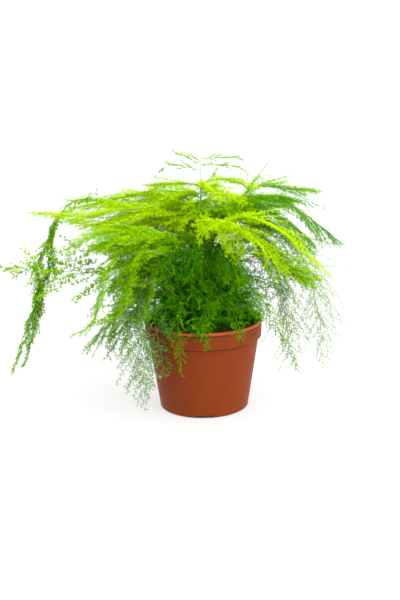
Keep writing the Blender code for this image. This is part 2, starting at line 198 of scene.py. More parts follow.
def new_object(name, mesh):
    made = bpy.data.objects.new(name, mesh)
    bpy.context.scene.collection.objects.link(made)
    return made


# ---- materials ----


def new_material(name):
    made = bpy.data.materials.new(name)
    made.use_nodes = True
    made.node_tree.nodes.clear()
    return made, made.node_tree


def set_ramp(ramp, stops):
    """Puts (position, hex colour) stops on a colour ramp."""
    points = ramp.color_ramp.elements
    while len(points) < len(stops):
        points.new(1.0)
    for point, (place, code) in zip(points, stops):
        point.position = place
        point.color = linear(code)


# The tint map runs across from deep to bright tissue. Its last part belongs to the twigs.
MOST_TONE = 0.86
TWIG_FROM, TWIG_TO = 0.915, 0.985


def leaf_material(name, stops, old_twig, new_twig, tip, through):
    """Living leaf tissue, so thin that it is matt and lets light through. The tint map says how
    bright a tuft is and how far along its needle a place is."""
    made, tree = new_material(name)
    uv = add(tree, "ShaderNodeUVMap", uv_map="tint")
    tone, along = add(tree, "ShaderNodeSeparateXYZ", {0: uv}).outputs[:2]
    # Old growth is deep green and young outer growth is bright. The deepest tones, given to growth
    # inside and low in the plant, are partly painted shade.
    ramp = add(tree, "ShaderNodeValToRGB", {0: tone})
    twigs = [(TWIG_FROM - 0.02, stops[-1][1]), (TWIG_FROM - 0.01, old_twig), (TWIG_TO, new_twig)]
    set_ramp(ramp, list(stops) + twigs)
    # Needle tips are paler and yellower than their bases, the more so on young growth.
    youth = add(tree, "ShaderNodeMath", {0: tone, 1: 0.42}, operation="MULTIPLY")
    fade = add(tree, "ShaderNodeMath", {0: along, 1: youth}, operation="MULTIPLY")
    colour = add(tree, "ShaderNodeMix", {0: fade, 6: ramp, 7: linear(tip)}, data_type="RGBA")
    # Hairs and a waxy bloom on the needles leave almost no gloss.
    skin = add(tree, "ShaderNodeBsdfPrincipled", {
        "Base Color": colour.outputs[2], "Roughness": 0.6, "Specular IOR Level": 0.03})
    # Light from behind glows through the thin tissue.
    glow = add(tree, "ShaderNodeBsdfTranslucent", {"Color": colour.outputs[2]})
    both = add(tree, "ShaderNodeMixShader", {0: through, 1: skin, 2: glow})
    add(tree, "ShaderNodeOutputMaterial", {0: both})
    return made


# Young fronds are lime, grown ones are mid green, and thin old ones are a greyer sage.
LEAVES = {
    "lime": leaf_material(
        "lime_fern_tissue",
        ((0.0, "#005000"), (0.3, "#30a000"), (0.6, "#96d000"), (0.85, "#ccf000")),
        "#2c7000", "#a4cc10", "#d8f400", 0.40),
    "green": leaf_material(
        "green_fern_tissue",
        ((0.0, "#004600"), (0.3, "#0c8600"), (0.6, "#74ba00"), (0.85, "#b0e000")),
        "#0a5400", "#70b810", "#a0d800", 0.36),
    "sage": leaf_material(
        "sage_fern_tissue",
        ((0.0, "#024800"), (0.3, "#2c8600"), (0.55, "#70a822"), (0.85, "#b4c8a0")),
        "#246408", "#8cbc58", "#a0bc80", 0.30),
}


def cane_material():
    """Smooth wiry stem with a thin waxy skin, which gives it a dull line of light."""
    made, tree = new_material("wiry_green_cane")
    uv = add(tree, "ShaderNodeUVMap", uv_map="tint")
    along = add(tree, "ShaderNodeSeparateXYZ", {0: uv}).outputs[1]
    # Canes are straw-coloured at the compost and green above it.
    ramp = add(tree, "ShaderNodeValToRGB", {0: along})
    set_ramp(ramp, ((0.0, "#5a4a28"), (0.25, "#3c6418"), (0.6, "#2c7010"), (1.0, "#5c9c1c")))
    skin = add(tree, "ShaderNodeBsdfPrincipled", {
        "Base Color": ramp, "Roughness": 0.45, "Specular IOR Level": 0.1})
    add(tree, "ShaderNodeOutputMaterial", {0: skin})
    return made


def pot_material():
    """Injection-moulded polypropylene, dyed terracotta: even colour and a soft satin sheen."""
    made, tree = new_material("moulded_terracotta_plastic")
    place = add(tree, "ShaderNodeTexCoord").outputs["Object"]
    # Painted highlight: the lip is pale. Painted shade darkens the groove under it and the corner
    # under the band.
    height = add(tree, "ShaderNodeSeparateXYZ", {0: place}).outputs[2]
    share = add(tree, "ShaderNodeMath", {0: height, 1: POT_HEIGHT}, operation="DIVIDE")
    bands = add(tree, "ShaderNodeValToRGB", {0: share})
    # body is the plastic's own colour; the other two are painted shade and a painted highlight.
    body, painted_shade, painted_highlight = "#6a2b0b", "#3c1707", "#9a4620"
    # Each level is in millimetres from the top of the pot.
    stops = ((-BAND - 1.6, body), (-BAND - 0.9, painted_shade), (-BAND - 0.1, painted_shade), (-BAND + 0.2, body),
             (-4.5, body), (-4.0, painted_shade), (-3.4, painted_shade), (-2.9, painted_highlight))
    set_ramp(bands, [(1 + level * MM / POT_HEIGHT, colour) for level, colour in stops])
    # Faint flow streaks from moulding, about 11 mm across.
    cloud = add(tree, "ShaderNodeTexNoise", {
        "Vector": place, "Scale": 90.0, "Detail": 3.0, "Roughness": 0.5})
    streak = add(tree, "ShaderNodeMapRange", {
        "Value": cloud.outputs["Fac"], "From Min": 0.3, "From Max": 0.7, "To Min": 0.93,
        "To Max": 1.03})
    colour = add(tree, "ShaderNodeVectorMath", {0: bands, "Scale": streak}, operation="SCALE")
    # The mould's fine grain, about 0.4 mm across, spreads highlights into the sheen.
    grain = add(tree, "ShaderNodeTexNoise", {"Vector": place, "Scale": 2600.0, "Detail": 2.0})
    bump = add(tree, "ShaderNodeBump", {
        "Strength": 0.25, "Distance": 0.06 * MM, "Height": grain.outputs["Fac"]})
    skin = add(tree, "ShaderNodeBsdfPrincipled", {
        "Base Color": colour, "Roughness": 0.46, "Specular IOR Level": 0.08, "Normal": bump})
    add(tree, "ShaderNodeOutputMaterial", {0: skin})
    return made


def compost_material():
    """Damp peat compost: loose crumbs with no shine at all."""
    made, tree = new_material("damp_peat_compost")
    place = add(tree, "ShaderNodeTexCoord").outputs["Object"]
    # Crumbs differ from black peat to brown fibre over about 3 mm.
    cloud = add(tree, "ShaderNodeTexNoise", {
        "Vector": place, "Scale": 330.0, "Detail": 4.0, "Roughness": 0.65})
    ramp = add(tree, "ShaderNodeValToRGB", {0: cloud.outputs["Fac"]})
    set_ramp(ramp, ((0.3, "#1b120b"), (0.55, "#36251a"), (0.75, "#5a432e")))
    skin = add(tree, "ShaderNodeBsdfPrincipled", {"Base Color": ramp, "Roughness": 0.92})
    add(tree, "ShaderNodeOutputMaterial", {0: skin})
    return made


# ---- geometry nodes ----


def new_tree(name, inputs):
    """A geometry tree with named inputs, and the input sockets by name."""
    tree = bpy.data.node_groups.new(name, "GeometryNodeTree")
    tree.interface.new_socket("Geometry", in_out="INPUT", socket_type="NodeSocketGeometry")
    tree.interface.new_socket("Geometry", in_out="OUTPUT", socket_type="NodeSocketGeometry")
    for label, kind in inputs:
        tree.interface.new_socket(label, in_out="INPUT", socket_type="NodeSocket" + kind)
    return tree, tree.nodes.new("NodeGroupInput").outputs


STORE = "GeometryNodeStoreNamedAttribute"
EACH_POINT = {"data_type": "FLOAT", "domain": "POINT"}


def foliage_tree():
    """Sweeps thin twigs along edges and sets a tuft of needles on each marked point."""
    tree, given = new_tree("fern_foliage", (
        ("Needle Length", "Float"), ("Needle Width", "Float"), ("Needles per Tuft", "Int"),
        ("Least Tilt", "Float"), ("Most Tilt", "Float"), ("Twig Sides", "Int"),
        ("Twig Tone From", "Float"), ("Twig Tone To", "Float"),
        ("Seed", "Int"), ("Material", "Material")))
    # What the shoot's mesh and the steps below say of each point.
    kinds = {"tone": "FLOAT", "size": "FLOAT", "thick": "FLOAT", "round": "FLOAT",
             "along": "FLOAT", "ahead": "FLOAT_VECTOR", "is_tuft": "BOOLEAN"}
    said = {name: add(tree, "GeometryNodeInputNamedAttribute", {0: name}, data_type=kind)
            for name, kind in kinds.items()}
    index = add(tree, "GeometryNodeInputIndex")
    # One needle: a thin three-sided spike.
    half = add(tree, "ShaderNodeMath", {0: given["Needle Width"], 1: 0.5}, operation="MULTIPLY")
    spike = add(tree, "GeometryNodeMeshCone", {
        "Vertices": 3, "Side Segments": 1, "Radius Top": 0.0, "Radius Bottom": half,
        "Depth": given["Needle Length"]}, fill_type="NONE")
    spot = add(tree, "GeometryNodeInputPosition")
    height = add(tree, "ShaderNodeSeparateXYZ", {0: spot}).outputs[2]
    share = add(tree, "ShaderNodeMath", {0: height, 1: given["Needle Length"]}, operation="DIVIDE")
    spike = add(tree, STORE, {"Geometry": spike, "Name": "along", "Value": share}, **EACH_POINT)
    corner = add(tree, "ShaderNodeMath", {0: index, 1: 4.0}, operation="DIVIDE")
    spike = add(tree, STORE, {"Geometry": spike, "Name": "round", "Value": corner}, **EACH_POINT)
    # A tuft: needles fanned round the twig's direction at the golden angle.
    seats = add(tree, "GeometryNodePoints", {"Count": given["Needles per Tuft"]})
    tilt = add(tree, "FunctionNodeRandomValue", {
        2: given["Least Tilt"], 3: given["Most Tilt"], "Seed": given["Seed"]}, data_type="FLOAT")
    turn = add(tree, "ShaderNodeMath", {0: index, 1: GOLDEN_ANGLE}, operation="MULTIPLY")
    fan = add(tree, "ShaderNodeCombineXYZ", {0: tilt.outputs[1], 2: turn})
    tuft = add(tree, "GeometryNodeInstanceOnPoints", {
        "Points": seats, "Instance": spike, "Rotation": fan})
    # Tufts point along their twigs, each turned at random about it.
    spin = add(tree, "FunctionNodeRandomValue", {
        0: (-1, -1, -1), 1: (1, 1, 1), "Seed": given["Seed"]}, data_type="FLOAT_VECTOR")
    facing = add(tree, "FunctionNodeAxesToRotation", {
        "Primary Axis": said["ahead"], "Secondary Axis": spin},
                 primary_axis="Z", secondary_axis="X")
    needles = add(tree, "GeometryNodeInstanceOnPoints", {
        "Points": given["Geometry"], "Selection": said["is_tuft"], "Instance": tuft,
        "Rotation": facing, "Scale": said["size"]})
    # Twigs: a few-sided tube along every edge line.
    paths = add(tree, "GeometryNodeMeshToCurve", {"Mesh": given["Geometry"]})
    factor = add(tree, "GeometryNodeSplineParameter")
    paths = add(tree, STORE, {"Geometry": paths, "Name": "along", "Value": factor}, **EACH_POINT)
    ring = add(tree, "GeometryNodeCurvePrimitiveCircle", {
        "Resolution": given["Twig Sides"], "Radius": 1.0})
    side = add(tree, "ShaderNodeMath", {0: index, 1: given["Twig Sides"]}, operation="DIVIDE")
    ring = add(tree, STORE, {"Geometry": ring, "Name": "round", "Value": side}, **EACH_POINT)
    tubes = add(tree, "GeometryNodeCurveToMesh", {
        "Curve": paths, "Profile Curve": ring, "Scale": said["thick"]})
    shade = add(tree, "ShaderNodeMapRange", {
        "Value": said["tone"], "To Min": given["Twig Tone From"], "To Max": given["Twig Tone To"]})
    tubes = add(tree, STORE, {"Geometry": tubes, "Name": "tone", "Value": shade}, **EACH_POINT)
    joined = add(tree, "GeometryNodeJoinGeometry", {0: [needles, tubes]})
    whole = add(tree, "GeometryNodeRealizeInstances", {"Geometry": joined})
    # The tint map: tone across, with a sliver of the way round, and the way along upwards.
    sliver = add(tree, "ShaderNodeMath", {0: said["round"], 1: 0.01}, operation="MULTIPLY")
    across = add(tree, "ShaderNodeMath", {0: said["tone"], 1: sliver}, operation="ADD")
    tint = add(tree, "ShaderNodeCombineXYZ", {0: across, 1: said["along"]})
    whole = add(tree, STORE, {"Geometry": whole, "Name": "tint", "Value": tint},
                data_type="FLOAT2", domain="CORNER")
    whole = add(tree, "GeometryNodeSetShadeSmooth", {"Geometry": whole})
    whole = add(tree, "GeometryNodeSetMaterial", {
        "Geometry": whole, "Material": given["Material"]})
    add(tree, "NodeGroupOutput", {0: whole})
    return tree


def run_tree(obj, tree, values):
    """Evaluates a geometry tree on an object once and keeps the result as its plain mesh."""
    modifier = obj.modifiers.new("grow", "NODES")
    modifier.node_group = tree
    sockets = {item.name: item.identifier for item in tree.interface.items_tree
               if item.in_out == "INPUT"}
    for label, value in values.items():
        modifier[sockets[label]] = value
    bpy.context.view_layer.update()
    graph = bpy.context.evaluated_depsgraph_get()
    mesh = bpy.data.meshes.new_from_object(obj.evaluated_get(graph), preserve_all_data_layers=True,
                                           depsgraph=graph)
    obj.modifiers.clear()
    old = obj.data
    obj.data = mesh
    mesh.name = obj.name
    bpy.data.meshes.remove(old)
    keep = {"position", "tint", "material_index", "sharp_face"}
    spare = [a.name for a in mesh.attributes if a.name not in keep and not a.name.startswith(".")]
    for name in spare:
        mesh.attributes.remove(mesh.attributes[name])
    # The bake reads its own copy of the tint map.
    if "tint" in mesh.uv_layers:
        flat = np.zeros(len(mesh.loops) * 2, np.float32)
        mesh.uv_layers["tint"].uv.foreach_get("vector", flat)
        mesh.uv_layers.new(name="OFBake").uv.foreach_set("vector", flat)
    return obj


# ---- growing a shoot ----


class Growth:
    """The twigs and tufts of one shoot, gathered as plain points."""

    def __init__(self, seed):
        self.rng = np.random.default_rng(seed)
        self.lines = []
        self.tufts = []

    def twig(self, points, start, end, tone):
        """A line of twig that narrows from start to end, in millimetres across."""
        thick = np.linspace(start, end, len(points)) * MM / 2
        self.lines.append((points, thick, np.full(len(points), tone)))

    def tuft(self, points, ahead, size, tone):
        """Tufts of needles at the points, each with its direction, size and tone."""
        self.tufts.append((points, ahead, size, tone))

    def mesh(self, name):
        """A mesh of edge lines and loose tuft points with what the tree reads on them."""
        spots, edges, thick, tones, twig_count = [], [], [], [], 0
        for points, width, shade in self.lines:
            spots.append(points)
            thick.append(width)
            tones.append(shade)
            edges += [(twig_count + i, twig_count + i + 1) for i in range(len(points) - 1)]
            twig_count += len(points)
        every = np.concatenate(spots + [t[0] for t in self.tufts])
        mesh = bpy.data.meshes.new(name)
        mesh.vertices.add(len(every))
        mesh.vertices.foreach_set("co", every.astype(np.float32).ravel())
        mesh.edges.add(len(edges))
        mesh.edges.foreach_set("vertices", np.array(edges, np.int32).ravel())
        tuft_count = len(every) - twig_count
        ahead = np.concatenate([np.tile((0, 0, 1.0), (twig_count, 1))] + [t[1] for t in self.tufts])
        size = np.concatenate([np.ones(twig_count)] + [t[2] for t in self.tufts])
        tone = np.concatenate(tones + [t[3] for t in self.tufts])
        width = np.concatenate(thick + [np.zeros(tuft_count)])
        marks = np.arange(len(every)) >= twig_count
        for label, kind, field, values in (
                ("ahead", "FLOAT_VECTOR", "vector", ahead), ("size", "FLOAT", "value", size),
                ("tone", "FLOAT", "value", np.clip(tone, 0, MOST_TONE)),
                ("thick", "FLOAT", "value", width), ("is_tuft", "BOOLEAN", "value", marks)):
            layer = mesh.attributes.new(label, kind, "POINT")
            plain = bool if kind == "BOOLEAN" else np.float32
            layer.data.foreach_set(field, values.astype(plain).ravel())
        return mesh


SMOOTH_STEPS = 24  # points between two given ones, from which the even ones are picked


def smooth_line(points, count):
    """Evenly spaced points along a smooth curve through the given ones, and its length."""
    ends = [2 * points[0] - points[1]] + points + [2 * points[-1] - points[-2]]
    dense = []
    for a, b, c, d in zip(ends, ends[1:], ends[2:], ends[3:]):
        times = [0.0]
        for p, q in ((a, b), (b, c), (c, d)):
            times.append(times[-1] + math.sqrt((q - p).length))
        t0, t1, t2, t3 = times
        for i in range(SMOOTH_STEPS):
            t = t1 + (t2 - t1) * i / SMOOTH_STEPS
            ab = a.lerp(b, (t - t0) / (t1 - t0))
            bc = b.lerp(c, (t - t1) / (t2 - t1))
            cd = c.lerp(d, (t - t2) / (t3 - t2))
            abc = ab.lerp(bc, (t - t0) / (t2 - t0))
            bcd = bc.lerp(cd, (t - t1) / (t3 - t1))
            dense.append(abc.lerp(bcd, (t - t1) / (t2 - t1)))
    dense.append(points[-1])
    dense = np.array([tuple(p) for p in dense])
    run = np.concatenate([[0], np.cumsum(np.linalg.norm(np.diff(dense, axis=0), axis=1))])
    wanted = np.linspace(0, run[-1], count)
    return np.stack([np.interp(wanted, run, dense[:, k]) for k in range(3)], axis=1), run[-1]


def route_points(shoot):
    """The row's route as places round the pot."""
    points = []
    for degrees, out, up in shoot.route:
        angle = math.radians(degrees)
        radius = RIM_RADIUS + out * MM
        height = POT_HEIGHT + (up * MM if up >= 0 else up * POT_HEIGHT)
        points.append(Vector((radius * math.cos(angle), radius * math.sin(angle), height)))
    return points


SEAT_DEPTH = 12 * MM
STRAIGHT_RISE = 6 * MM  # a cane leaves the compost upright for this length
STEM_LEAD = 6  # a cane turns into its spray's direction over one part in this many of its rise


def stem_points(shoot):
    """The cane's own path, from its seat in the compost up to the spray."""
    angle = math.radians(shoot.root[0])
    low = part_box(shoot.name + "_stem")[0].z
    foot = Vector((math.cos(angle), math.sin(angle), 0)) * shoot.root[1] * MM
    root = foot + Vector((0, 0, low + SEAT_DEPTH))
    rise = root + Vector((0, 0, STRAIGHT_RISE))
    start, follow = route_points(shoot)[:2]
    lead = start - (follow - start).normalized() * (start - rise).length / STEM_LEAD
    return [foot + Vector((0, 0, low)), root], [rise, lead, start]


# Thickness in millimetres at the start and the end of each.
BRANCH = (0.6, 0.3)
TWIG = (0.34, 0.22)
MOST_TUFTS = 12  # on one twig
BARE_START = 0.08  # the share of a branch that carries no twig


def feather(growth, start, direction, plane, length, style, tone, bend, size=1.0):
    """A side branch with its twigs and their tufts. plane is square to the branch's flat side."""
    rng = growth.rng
    pull = bend + DOWN * style.droop
    t = np.linspace(0, 1, 6)[:, None]
    growth.twig(start + direction * length * t + pull * length * t * t / 2, *BRANCH, tone)
    count = max(2, int(length / (style.twig_gap * MM)))
    t = (np.arange(count) + rng.uniform(0.2, 0.8, count)) / count
    t = (t * (1 - BARE_START) + BARE_START)[:, None]
    base = start + direction * length * t + pull * length * t * t / 2
    ahead = unit(direction + pull * t)
    side = unit(np.cross(plane, ahead)) * np.where(np.arange(count) % 2, 1, -1)[:, None]
    up = np.cross(ahead, side)
    roll = rng.normal(0, 0.25 + style.volume * 0.6, count)[:, None]
    out = side * np.cos(roll) + up * np.sin(roll)
    angle = math.radians(style.twig_angle)
    twig_way = unit(ahead * math.cos(angle) + out * math.sin(angle))
    # Twigs are shorter towards the tip of their branch.
    twig_length = style.twig_length * MM * (1 - 0.55 * t[:, 0]) * rng.uniform(0.65, 1.2, count)
    gap = style.tuft_gap * MM
    for i in range(count):
        end = base[i] + twig_way[i] * twig_length[i] + DOWN * twig_length[i] * style.droop / 2
        growth.twig(np.stack([base[i], end]), *TWIG, tone)
    # Tissue is younger, and so brighter, towards the tips of twigs and branches.
    youth = 0.16 * t[:, 0]
    for k in range(MOST_TUFTS):
        here = (k + 0.6) * gap < twig_length
        if not here.any():
            break
        share = ((k + 0.6) * gap / twig_length[here])[:, None]
        places = base[here] + (twig_way[here] * share + DOWN * style.droop / 2 * share**2) * (
            twig_length[here][:, None])
        n = here.sum()
        ways = unit(twig_way[here] + rng.normal(0, 0.15, (n, 3)))
        sizes = size * rng.uniform(0.7, 1.1, n)
        tones = tone + rng.normal(0, 0.07, n) + 0.10 * share[:, 0] + youth[here]
        growth.tuft(places, ways, sizes, tones)
    # The branch's own point is tufted too.
    n = max(3, int(length * 0.35 / gap))
    t = np.linspace(0.65, 1.0, n)[:, None]
    places = start + direction * length * t + pull * length * t * t / 2
    ways = unit(direction + pull * t + rng.normal(0, 0.1, (n, 3)))
    growth.tuft(places, ways, size * np.linspace(0.95, 0.6, n), np.full(n, tone + 0.22))


def envelope(share, half_width):
    """How far a spray reaches sideways: most a third of the way out, and nothing at its ends."""
    return half_width * MM * np.sin(np.pi * share**0.62) ** 0.8


LEAST_REACH = 3 * MM  # of a side branch
TIP_TUFTS = 8


def spray(growth, line, length, side, style, half_width, tone, thick=0.9):
    """Side branches in two ranks along a line, longest a third of the way out."""
    rng = growth.rng
    growth.twig(line, thick, 0.3, tone)
    ahead_all = unit(np.gradient(line, axis=0))
    count = int(length / (style.gap * MM))
    angle = math.radians(style.angle)
    for i in range(count):
        share = (i + rng.uniform(0.2, 0.8)) / count
        spot = share * (len(line) - 1)
        low = min(int(spot), len(line) - 2)
        start = line[low] + (line[low + 1] - line[low]) * (spot - low)
        ahead = ahead_all[low + 1]
        normal = unit(np.cross(ahead, side))
        across = np.cross(normal, ahead)
        roll = rng.normal(0, style.volume)
        rank = 1 if i % 2 else -1
        out = rank * across * math.cos(roll) + normal * math.sin(roll)
        reach = envelope(share, half_width) * style.reach / max(math.sin(angle), 0.35)
        reach = max(LEAST_REACH, reach) * rng.uniform(0.75, 1.15)
        direction = unit(ahead * math.cos(angle) + out * math.sin(angle))
        plane = unit(np.cross(ahead, direction) * rank + rng.normal(0, 0.15, 3))
        shade = tone + rng.normal(0, 0.07)
        bend = ahead * style.sweep + rng.uniform(-1, 1, 3) * style.curl
        # Needles are shorter on the last branches.
        feather(growth, start, direction, plane, reach, style, shade, bend, 1 - 0.4 * share**4)
    growth.tuft(line[-TIP_TUFTS:], ahead_all[-TIP_TUFTS:], np.linspace(0.6, 0.4, TIP_TUFTS),
                np.full(TIP_TUFTS, tone + 0.1))


FROND_POINTS = 40


def side_frond(growth, shoot, layer, stem, route, side):
    """A frond that leaves the cane lower down and follows the spray's line beneath it."""
    rng = growth.rng
    degrees, reach = FRONDS[shoot.name][layer]
    turn = Matrix.Rotation(math.radians(degrees + rng.uniform(-2, 2)), 3, "Z")
    reach *= rng.uniform(0.93, 1.05)
    # The first leaves near the top of the cane and each further one a ninth of it lower.
    start = Vector(stem[int((0.93 - 0.11 * layer) * (len(stem) - 1))])
    points = [start] + [start + turn @ (point - route[0]) * reach for point in route[1:]]
    line, length = smooth_line(points, FROND_POINTS)
    spray(growth, line, length, np.array(turn @ Vector(side)), STYLES[shoot.style],
          shoot.half_width * rng.uniform(0.85, 1.1), shoot.tone - 0.07 * layer)


ARM_POINTS = 20
CROWN_FRONDS = 22
LOW_HALF_WIDTH = 13  # millimetres, of a crown frond or a skirt


def arm_way(turn):
    """The level direction at an angle round the plant, and the one square to it."""
    way = np.array((math.cos(turn), math.sin(turn), 0))
    return way, np.array((-way[1], way[0], 0))


def crown(growth, top):
    """Low bright fronds that radiate from under the spire and close the top of the plant."""
    rng = growth.rng
    t = np.linspace(0, 1, ARM_POINTS)[:, None]
    for i in range(CROWN_FRONDS):
        way, side = arm_way(i * GOLDEN_ANGLE + 0.4)
        length = rng.uniform(40, 64) * MM
        # Each starts lower than the last, lifts a little and then droops.
        start = top + np.array((0, 0, (5 - 2.5 * i) * MM))
        arm = start + way * length * t + DOWN * length * (0.5 * t * t - 0.35 * t)
        spray(growth, arm, length, side, STYLES["plume"], LOW_HALF_WIDTH,
              rng.uniform(0.55, 0.85) - 0.015 * i)


# Rings of skirts from low to high: share of the cane, least and most length in millimetres, and
# how steeply they fall.
SKIRTS = ((0.04, 36, 52, 0.50), (0.10, 36, 52, 0.55), (0.24, 45, 66, 0.5), (0.45, 50, 76, 0.35))


def skirts(growth, number, stem):
    """Low fronds that spread from near the foot of a cane, over the pot's mouth and past it."""
    rng = growth.rng
    t = np.linspace(0, 1, ARM_POINTS)[:, None]
    for ring, (low, shortest, longest, fall) in enumerate(SKIRTS):
        start = stem[int((len(stem) - 1) * (low + rng.uniform(0, 0.1)))]
        way, side = arm_way(number * GOLDEN_ANGLE + ring * 1.7 + rng.uniform(-0.2, 0.2))
        length = rng.uniform(shortest, longest) * MM
        arm = start + way * length * t - DOWN * length * (fall * 2 * t - (fall * 2 - 0.1) * t * t)
        # Low rings get deep tones, partly older growth and partly painted shade.
        spray(growth, arm, length * 1.15, side, STYLES["thicket"], LOW_HALF_WIDTH,
              0.04 + 0.05 * ring + rng.normal(0, 0.04), 0.8)


UNDERGROWTH_GAP = 5.4 * MM


def undergrowth(growth, stem, tone):
    """Short dense branches all round a cane, which fill the heart of the plant."""
    rng = growth.rng
    ahead_all = unit(np.gradient(stem, axis=0))
    length = np.linalg.norm(np.diff(stem, axis=0), axis=1).sum()
    count = int(length / UNDERGROWTH_GAP)
    for i in range(count):
        share = (i + rng.uniform(0, 1)) / count
        low = int(share * (len(stem) - 1))
        turn = i * GOLDEN_ANGLE + rng.uniform(-0.4, 0.4)
        out = unit(np.array((math.cos(turn), math.sin(turn), 0.25)))
        direction = unit(out + ahead_all[low] * 0.45)
        plane = unit(rng.normal(0, 1, 3))
        reach = rng.uniform(16, 30) * MM
        # Its tone is partly age and partly painted shade: deep green low in the plant, and the
        # spray's own tone at the top.
        shade = 0.04 + 0.85 * tone * share**3 + rng.normal(0, 0.05)
        bend = ahead_all[low] * 0.2 + DOWN * 0.3
        feather(growth, stem[low], direction, plane, reach, STYLES["thicket"], shade, bend)


TREE = foliage_tree()
CANE = cane_material()
totals = {}


def make_piece(name, growth, material, stands_for, values):
    """Turns a growth into one finished piece and books it with the frame."""
    piece = new_object(name, growth.mesh(name))
    fixed = {"Material": material, "Twig Tone From": TWIG_FROM, "Twig Tone To": TWIG_TO}
    run_tree(piece, TREE, {**fixed, **values})
    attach(piece, "root")
    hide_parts(stands_for)
    totals[name] = sum(len(p.vertices) - 2 for p in piece.data.polygons)


STEM_POINTS = 30
POINTS_PER_STEP = 12  # of a spray's line, for each point of its route
CANE_RADIUS, CANE_TIP_RADIUS = 0.9 * MM, 0.7 * MM
JOINT_GAP = 3  # points of a cane from joint to joint


def grow_shoot(number, shoot):
    style = STYLES[shoot.style]
    growth = Growth(100 + number)
    foot, rise = stem_points(shoot)
    upper, _ = smooth_line(rise, STEM_POINTS)
    stem = np.concatenate([np.array([tuple(p) for p in foot]), upper])
    route = route_points(shoot)
    line, length = smooth_line(route, len(route) * POINTS_PER_STEP)
    if shoot.spread is None:
        ahead = route[-1] - route[0]
        side = unit(np.array((-ahead.y, ahead.x, 0)))
    else:
        spread = math.radians(shoot.spread)
        side = np.array((math.cos(spread), math.sin(spread), 0))
    if shoot.style == "spire":
        grow_spire(growth, line, style, shoot.tone)
        crown(growth, line[0])
    elif shoot.style == "rope":
        grow_rope(growth, line, length, side, style, shoot)
    else:
        spray(growth, line, length, side, style, shoot.half_width, shoot.tone)
    for layer in range(len(FRONDS.get(shoot.name, ()))):
        side_frond(growth, shoot, layer, upper, route, side)
    undergrowth(growth, upper, shoot.tone)
    skirts(growth, number, upper)
    make_piece(shoot.name + "_foliage", growth, LEAVES[shoot.finish],
               shoot.name + "_spray",
               {"Needle Length": style.needle * MM, "Needle Width": style.width * MM,
                "Needles per Tuft": style.count, "Least Tilt": 0.45, "Most Tilt": 1.15,
                "Twig Sides": 3, "Seed": number})
    # The cane swells at each joint, where one papery scale leaf is pressed to it.
    cane = Growth(500 + number)
    n = len(stem)
    swell = 1 + 0.12 * (np.arange(n) % JOINT_GAP == 0)
    cane.lines.append((stem, np.linspace(CANE_RADIUS, CANE_TIP_RADIUS, n) * swell, np.zeros(n)))
    joints = stem[JOINT_GAP::JOINT_GAP]
    ways = unit(np.gradient(stem, axis=0))[JOINT_GAP::JOINT_GAP]
    cane.tuft(joints, ways, np.ones(len(joints)), np.full(len(joints), 0.3))
    make_piece(shoot.name + "_cane", cane, CANE, shoot.name + "_stem",
               {"Needle Length": 2.8 * MM, "Needle Width": 1.5 * MM, "Needles per Tuft": 1,
                "Least Tilt": 0.15, "Most Tilt": 0.3, "Twig Sides": 8, "Seed": number})


ROPE_START = 0.40  # the share of the left rope's line that is still a plume
FORK_HALF_WIDTH = 6.4 * MM  # how far each cord swings out where they part
TAIL_HALF_WIDTH = 4.6 * MM  # how far apart they end


def grow_rope(growth, line, length, side, style, shoot):
    """Two cords that part and meet again, their short branches pressed along them."""
    first = 0
    if shoot.name == "left_rope":
        # Up to where it hangs, this shoot is a bright plume like its neighbours.
        first = int(len(line) * ROPE_START)
        spray(growth, line[:first + 4], length * 0.42, side, STYLES["plume"], 9, shoot.tone + 0.35)
    hang = line[first:]
    if first:
        # A thin young tip arches up and back from where the rope turns down.
        t = np.linspace(0, 1, 16)[:, None]
        tip = hang[7] + (t**1.6 * (50, 0, 0) + t * (0, 0, 46)) * MM
        spray(growth, tip, 70 * MM, np.array((0.7, 0, -0.7)), STYLES["trail"], 3,
              shoot.tone - 0.1, 0.7)
    n = len(hang)
    share = np.linspace(0, 1, n)
    part = FORK_HALF_WIDTH * np.sin(np.pi * np.clip((share - 0.14) / 0.30, 0, 1))
    part += TAIL_HALF_WIDTH * np.clip((share - 0.42) / 0.58, 0, 1) ** 0.7
    ahead = unit(np.gradient(hang, axis=0))
    cord_length = length * (1 - first / len(line))
    for way in (1, -1):
        # One cord is a little shorter than the other.
        end = n if way > 0 else int(n * 0.96)
        cord = (hang + (side * 0.3 + np.cross(ahead, side)) * part[:, None] * way)[:end]
        spray(growth, cord, cord_length, side, style, shoot.half_width, shoot.tone)


# Side shoots of the young spire: height up its line, direction round it, length in millimetres,
# the way it rises and the way it droops.
SPIRE_ARMS = (
    (0.62, 178, 46, 0.24, 0.36), (0.84, 176, 28, 0.45, 0.00), (0.98, 3, 42, 0.04, 0.06),
    (0.80, 357, 47, -0.02, 0.18), (0.88, 178, 12, 0.70, 0.00), (0.05, 10, 24, 1.00, 0.00),
)


def grow_spire(growth, line, style, tone):
    """The bare young stem at the top, with its few thin side shoots."""
    growth.twig(line, 1.0, 0.6, tone)
    for share, degrees, length, rise, droop in SPIRE_ARMS:
        start = line[int(share * (len(line) - 1))]
        angle = math.radians(degrees)
        way = np.array((math.cos(angle), math.sin(angle), rise))
        t = np.linspace(0, 1, 14)[:, None]
        arm = start + unit(way) * length * MM * t + DOWN * droop * length * MM * t**5
        spray(growth, arm, length * MM, np.array((0, 1.0, 0)), style, 4, tone, 0.5)


# ---- the pot and the compost ----

